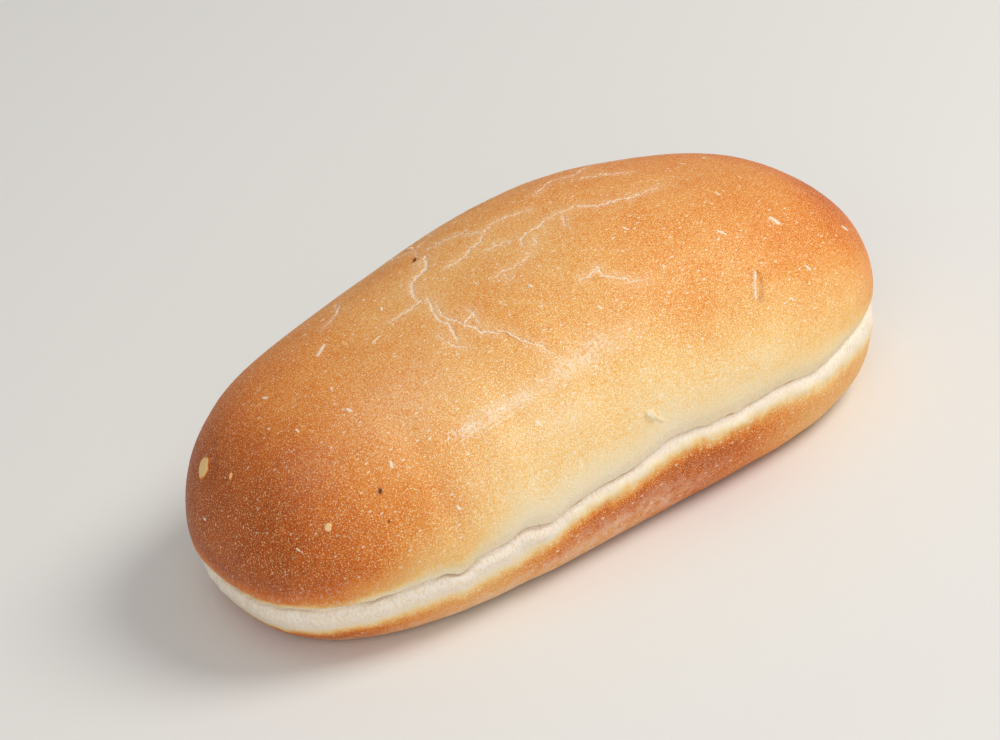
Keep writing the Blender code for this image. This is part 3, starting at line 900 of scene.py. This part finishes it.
def side_browning(points, plain):
    """The side's browning: rising down from the lip, and fading again towards the base."""
    along = plain[:, 0] / SEAM_HALF_LENGTH
    below = below_lip(plain) + SIDE_SWAY * noise_at(points, SIDE_SWAY_LENGTH, seed=7)
    below += SIDE_FRAY * noise_at(points, SIDE_FRAY_LENGTH, seed=12, stretch=RIM_STRETCH)
    tone = SIDE_TONE * zone(below, FOOT_SPAN) * (1 - GOLDEN_SIDE_LOSS * zone(along, GOLDEN_SIDE))
    tone = tone * (1 - LIGHTEST_SIDE_LOSS * bump(along, *LIGHTEST_SIDE))
    tone -= SIDE_FADE * zone(below, FADE_SPAN) * (1 - DARK_FOOT_LOSS * zone(along, DARK_FOOT))
    return np.maximum(tone, SIDE_LEAST)


def browning(points, plain, on_base, worn_and_highlight):
    """How far each point is browned, from 0, pale dough, to 1, nearly black, with painted shade and a
    painted highlight in places.
    """
    baked_and_shaded = np.where(plain[:, 2] > 0, dome_browning_and_shade(points, plain, worn_and_highlight), side_browning(points, plain))
    under = UNDER_TONE + UNDER_SWAY * noise_at(points, UNDER_SWAY_LENGTH, seed=8)
    baked_and_shaded = np.where(on_base > 0.5, under, baked_and_shaded)
    low_end = zone(-plain[:, 0] / SEAM_HALF_LENGTH, LOW_END)
    uneven = (BLOTCH - BLOTCH_LOW_LOSS * low_end) * noise_at(points, BLOTCH_LENGTH, seed=9)
    uneven += SPOT * noise_at(points, SPOT_LENGTH, seed=10)
    return baked_and_shaded + uneven * smooth(baked_and_shaded / BLOTCH_START)


def lip_cover(points, fold, below):
    """From 0 to 1, how much of each point shows the pale dough of the lip, which ends in a frayed edge."""
    fray = COVER_FRAY * noise_at(points, COVER_FRAY_LENGTH, seed=13, stretch=RIM_STRETCH)
    fray = fray + COVER_SWAY * noise_at(points, COVER_SWAY_LENGTH, seed=14)
    return zone(fold, COVER_FOLDS) * (1 - smooth((below + COVER_OVERLAP + fray) / COVER_FADE))


def graininess(plain, below, flaked):
    """How strongly the fine speckle shows on each point."""
    ends = zone(np.abs(plain[:, 0]) / SEAM_HALF_LENGTH, GRAINY_ENDS)
    shown = zone(plain[:, 2] / MM, GRAINY_DOME) + GRAINY_SIDE_SHARE * zone(below, GRAINY_SIDE)
    return (1 - GRAINY_FLAKE_LOSS * flaked) * shown * (1 - GRAINY_END_LOSS * ends)


def pinkness(plain, below, on_base):
    """How far each point shows the pink mottling of the foot."""
    shown = zone(below, PINK_SPAN) * (1 - PINK_BASE_LOSS * on_base)
    return shown * (1 - PINK_END_LOSS * zone(plain[:, 0] / SEAM_HALF_LENGTH, PINK_END))


def formed_crust():
    """Points, each with its place, its place in the regular bun, fold and base, and triangles."""
    plain, fold, on_base, ring_count = plain_points()
    formed = settle(warped(plain))
    wander = noise_at(plain, SEAM_WANDER_LENGTH, seed=11) * SEAM_WANDER
    formed[:, 2] += wander * bump(plain[:, 2], 0, SEAM_WANDER_REACH)
    return np.column_stack([formed, plain, fold, on_base]), bun_triangles(ring_count)


def crust_values(points, surface, marked):
    """How far each point stands out of the plain form, and the values that the material reads there."""
    places, plain, fold, on_base = points[:, :3], points[:, 3:6], points[:, 6], points[:, 7]
    # The crown's worn patch: wear, and partly a painted highlight
    worn_and_highlight = patch(places, surface, WORN_AND_HIGHLIGHT_PIXEL, WORN_AND_HIGHLIGHT_REACH)
    height = relief(places, plain, fold, on_base) - marked[:, 0]
    baked_and_shaded = browning(places, plain, on_base, worn_and_highlight)
    haze_and_highlight = np.maximum(haze_and_highlight_at(places, surface), marked[:, 3])
    flakes = flake_masks(places, surface)
    for mask, (rise, _, tone, veil, _) in zip(flakes, FLAKES):
        height += mask * rise * MM
        baked_and_shaded += mask * (tone - baked_and_shaded)
        haze_and_highlight = np.maximum(haze_and_highlight, mask * veil)
    below = below_lip(plain)
    tuck = bump(fold, *TUCK)
    return height, {
        "baked_and_shaded": np.maximum(baked_and_shaded, TUCK_BROWNING * tuck),
        "worn_and_highlight": worn_and_highlight,
        "rim": bump(np.maximum(plain[:, 2], 0), 0, PORED_REACH) * (fold < PORED_FOLDS),
        "haze_and_highlight": haze_and_highlight,
        "lip": lip_cover(places, fold, below),
        "pale": marked[:, 1],
        # The marks' darkness, and the tuck's, which is painted shade in the crease
        "dark": np.maximum(marked[:, 2], TUCK_PAINTED_SHADE * tuck),
        "pink": pinkness(plain, below, on_base),
        "grainy": graininess(plain, below, np.max(flakes, axis=0)),
    }


def add_bun(material):
    points, triangles = formed_crust()
    surface = BVHTree.FromPolygons(points[:, :3].tolist(), triangles.tolist())
    marks, samples = mark_samples(surface)
    points, triangles = refined(points, triangles, tree_of(marks + flake_places(surface)))
    places = points[:, :3]
    height, values = crust_values(points, surface, mark_values(places, tree_of(marks), samples))
    shaped = places + vertex_normals(places, triangles) * height[:, None]
    shaped[:, 2] = np.maximum(shaped[:, 2], 0)
    data = bpy.data.meshes.new("bun_crust")
    data.from_pydata(shaped.tolist(), [], triangles.tolist())
    for name, numbers in values.items():
        attribute(data, name, numbers)
    data.shade_smooth()
    data.materials.append(material)
    bun = bpy.data.objects.new("bun_crust", data)
    bpy.context.scene.collection.objects.link(bun)
    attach(bun, "root")
    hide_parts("bun")


class Nodes:
    """Short ways of adding nodes to one material."""

    def __init__(self, name):
        self.material = bpy.data.materials.new(name)
        self.material.use_nodes = True
        self.tree = self.material.node_tree
        self.shader = self.tree.nodes["Principled BSDF"]

    def link(self, value, socket):
        if isinstance(value, bpy.types.NodeSocket):
            self.tree.links.new(value, socket)
        elif isinstance(value, tuple):
            socket.default_value = (*value, 1.0)
        else:
            socket.default_value = value

    def attribute(self, name):
        node = self.tree.nodes.new("ShaderNodeAttribute")
        node.attribute_name = name
        return node.outputs["Fac"]

    def math(self, operation, first, second=0.0, third=0.0):
        node = self.tree.nodes.new("ShaderNodeMath")
        node.operation = operation
        for value, socket in zip((first, second, third), node.inputs):
            self.link(value, socket)
        return node.outputs[0]

    def times(self, first, second):
        return self.math("MULTIPLY", first, second)

    def centred(self, value):
        return self.math("SUBTRACT", value, 0.5)

    def object_place(self):
        return self.tree.nodes.new("ShaderNodeTexCoord").outputs["Object"]

    def noise(self, place, length, detail):
        node = self.tree.nodes.new("ShaderNodeTexNoise")
        node.inputs["Scale"].default_value = 1 / length
        node.inputs["Detail"].default_value = detail
        self.tree.links.new(place, node.inputs["Vector"])
        return node.outputs["Fac"]

    def cells(self, place, length):
        node = self.tree.nodes.new("ShaderNodeTexVoronoi")
        node.inputs["Scale"].default_value = 1 / length
        self.tree.links.new(place, node.inputs["Vector"])
        return node.outputs["Distance"], node.outputs["Color"]

    def scaled(self, place, scale):
        node = self.tree.nodes.new("ShaderNodeMapping")
        node.inputs["Scale"].default_value = scale
        self.tree.links.new(place, node.inputs["Vector"])
        return node.outputs["Vector"]

    def step(self, value, low, high):
        node = self.tree.nodes.new("ShaderNodeMapRange")
        node.interpolation_type = "SMOOTHSTEP"
        self.link(value, node.inputs["Value"])
        node.inputs["From Min"].default_value = low
        node.inputs["From Max"].default_value = high
        return node.outputs["Result"]

    def ramp(self, value, stops):
        node = self.tree.nodes.new("ShaderNodeValToRGB")
        elements = node.color_ramp.elements
        while len(elements) < len(stops):
            elements.new(0.5)
        for element, (position, colour) in zip(elements, stops):
            element.position = position
            element.color = (*colour, 1)
        self.link(value, node.inputs["Fac"])
        return node.outputs["Color"]

    def mix(self, share, first, second):
        node = self.tree.nodes.new("ShaderNodeMix")
        node.data_type = "RGBA"
        self.link(share, node.inputs["Factor"])
        self.link(first, node.inputs["A"])
        self.link(second, node.inputs["B"])
        return node.outputs["Result"]


class CrustNodes(Nodes):
    """The crust's layers: each takes the colour under it and gives the colour with the layer on it."""

    def __init__(self):
        super().__init__("bun_crust")
        self.place = self.object_place()
        self.fine = self.noise(self.place, FINE_LENGTH, detail=1.0)
        self.finer = self.noise(self.place, FINER_LENGTH, detail=0.0)
        self.fibres = self.fibre_noise()
        self.baked_and_shaded = self.attribute("baked_and_shaded")
        self.grainy = self.attribute("grainy")

    def fibre_noise(self):
        """Noise that is bent and drawn out upwards, as torn dough is."""
        bend = self.tree.nodes.new("ShaderNodeTexNoise")
        bend.inputs["Scale"].default_value = 1 / FIBRE_BEND_LENGTH
        self.link(self.place, bend.inputs["Vector"])
        bent = self.tree.nodes.new("ShaderNodeVectorMath")
        bent.operation = "MULTIPLY_ADD"
        self.link(bend.outputs["Color"], bent.inputs[0])
        bent.inputs[1].default_value = (FIBRE_BEND, FIBRE_BEND, FIBRE_BEND)
        self.link(self.place, bent.inputs[2])
        return self.noise(self.scaled(bent.outputs["Vector"], FIBRE_SCALE), FIBRE_WIDTH, detail=3.0)

    def layer(self, colour, share, strength, tint):
        return self.mix(self.times(share, strength), colour, tint)

    def browned(self):
        """The dough's colour, by how far it is browned, with painted shade in places, and with mottling and
        grain.
        """
        mottle = self.centred(self.noise(self.place, MOTTLE_LENGTH, detail=3.0))
        baked_and_shaded = self.math("MULTIPLY_ADD", mottle, MOTTLE_DEPTH, self.baked_and_shaded)
        grain = self.times(self.centred(self.fine), self.grainy)
        return self.ramp(self.math("MULTIPLY_ADD", grain, GRAIN_DEPTH, baked_and_shaded), BAKE_COLOURS)

    def pink(self, colour):
        patches = self.step(self.noise(self.place, PINK_LENGTH, detail=4.0), *PINK_FADE)
        return self.layer(colour, self.times(self.attribute("pink"), patches), PINK_STRENGTH, PINK_COLOUR)

    def speckled(self, colour):
        """Fine pale specks, and fewer bright ones among them: pale grain of the crust, and partly painted
        glints.
        """
        specks = self.times(self.step(self.finer, *SPECK_FADE), self.grainy)
        # The worn patch, partly a painted highlight, shows stronger specks
        strength = self.math("MULTIPLY_ADD", self.attribute("worn_and_highlight"), SPECK_WORN_AND_HIGHLIGHT_GAIN, SPECK_STRENGTH)
        colour = self.layer(colour, specks, strength, self.ramp(self.baked_and_shaded, SPECK_AND_GLINT_COLOURS))
        sparks = self.math("MULTIPLY_ADD", self.baked_and_shaded, -SPARK_BAKED_LOSS, self.finer)
        sparks = self.times(self.step(sparks, *SPARK_FADE), self.grainy)
        return self.layer(colour, sparks, SPARK_STRENGTH, SPARK_AND_GLINT_COLOUR)

    def dusted(self, colour):
        """Scattered grains of flour, in some of the cells."""
        distance, chance = self.cells(self.scaled(self.place, DUST_SCALE), DUST_LENGTH)
        grains = self.times(self.step(distance, *DUST_FADE), self.step(chance, *DUST_CHANCE))
        return self.layer(colour, self.times(grains, self.grainy), DUST_STRENGTH, FLOUR_COLOUR)

    def pored(self, colour):
        """Pores and pale streaks of the rim over the seam."""
        rim = self.attribute("rim")
        pores = self.times(self.step(self.noise(self.place, PORE_LENGTH, detail=0.0), *PORE_FADE), rim)
        colour = self.layer(colour, pores, PORE_STRENGTH, PORE_COLOUR)
        streaks = self.times(self.step(self.fibres, *STREAK_FADE), rim)
        return self.layer(colour, streaks, STREAK_STRENGTH, LIP_COLOUR)

    def lipped(self, colour):
        tone = self.mix(self.step(self.fibres, *LIP_FADE), LIP_COLOUR, LIP_SHADE)
        return self.mix(self.attribute("lip"), colour, tone)

    def hazed_and_highlighted(self, colour):
        # Pale dust and scuffing, and along the crown's streak partly a painted highlight
        patches = self.step(self.noise(self.place, HAZE_LENGTH, detail=2.0), *HAZE_FADE)
        return self.mix(self.times(self.attribute("haze_and_highlight"), patches), colour, HAZE_AND_HIGHLIGHT_COLOUR)

    def marked(self, colour):
        """Pale marks with broken edges, and dark ones: char, and painted shade in grooves, beside cracks
        and in the crease.
        """
        pale = self.attribute("pale")
        broken = self.math("ADD", self.centred(self.finer), pale)
        shown = self.times(self.step(broken, *PALE_FADE), self.step(pale, *PALE_EDGE))
        colour = self.layer(colour, shown, PALE_STRENGTH, FLOUR_COLOUR)
        dark = self.attribute("dark")
        return self.mix(self.math("MAXIMUM", dark, self.step(dark, *CHAR_AND_SHADE_FADE)), colour, CHAR_AND_SHADE_COLOUR)

    def bumps(self):
        node = self.tree.nodes.new("ShaderNodeBump")
        node.inputs["Strength"].default_value = BUMP_STRENGTH
        node.inputs["Distance"].default_value = BUMP_DEPTH
        share = self.math("MULTIPLY_ADD", self.attribute("lip"), FIBRE_LIP_BUMP, FIBRE_BUMP)
        grain = self.math("ADD", self.fine, self.finer)
        self.link(self.math("ADD", grain, self.times(self.fibres, share)), node.inputs["Height"])
        return node.outputs["Normal"]


def crust_material():
    n = CrustNodes()
    colour = n.browned()
    for layer in (n.pink, n.speckled, n.dusted, n.pored, n.lipped, n.hazed_and_highlighted, n.marked):
        colour = layer(colour)
    n.link(colour, n.shader.inputs["Base Color"])
    roughness = n.math("MULTIPLY_ADD", n.fine, ROUGHNESS_SWAY, ROUGHNESS - ROUGHNESS_SWAY / 2)
    n.link(roughness, n.shader.inputs["Roughness"])
    n.shader.inputs["Specular IOR Level"].default_value = SPECULAR
    n.link(n.bumps(), n.shader.inputs["Normal"])
    return n.material


def floor_material():
    n = Nodes("floor")
    tone = n.noise(n.object_place(), FLOOR_MOTTLE, detail=2.0)
    n.link(n.mix(tone, *FLOOR_COLOURS), n.shader.inputs["Base Color"])
    n.shader.inputs["Roughness"].default_value = FLOOR_ROUGHNESS
    return n.material


def add_floor():
    data = bpy.data.meshes.new("floor")
    turns = ((-1, -1), (1, -1), (1, 1), (-1, 1))
    corners = [(x * FLOOR_HALF, y * FLOOR_HALF, -FLOOR_DROP) for x, y in turns]
    data.from_pydata(corners, [], [(0, 1, 2, 3)])
    data.materials.append(floor_material())
    floor = bpy.data.objects.new("floor", data)
    bpy.context.scene.collection.objects.link(floor)


def add_lamp(name, direction, distance, width, power, colour):
    data = bpy.data.lights.new(name, "AREA")
    data.shape = "DISK"
    data.size = width
    data.energy = power
    data.color = colour
    lamp = bpy.data.objects.new(name, data)
    towards = Vector(direction).normalized()
    lamp.location = VIEW_AIM + towards * distance
    lamp.rotation_euler = towards.to_track_quat("Z", "Y").to_euler()
    bpy.context.scene.collection.objects.link(lamp)


def add_lights():
    for lamp in LAMPS:
        add_lamp(*lamp)
    world = bpy.data.worlds.new("studio")
    world.use_nodes = True
    background = world.node_tree.nodes["Background"]
    background.inputs["Color"].default_value = WORLD_COLOUR
    background.inputs["Strength"].default_value = WORLD_STRENGTH
    bpy.context.scene.world = world
    bpy.context.scene.view_settings.view_transform = "Standard"


add_camera()
add_floor()
add_lights()
add_bun(crust_material())
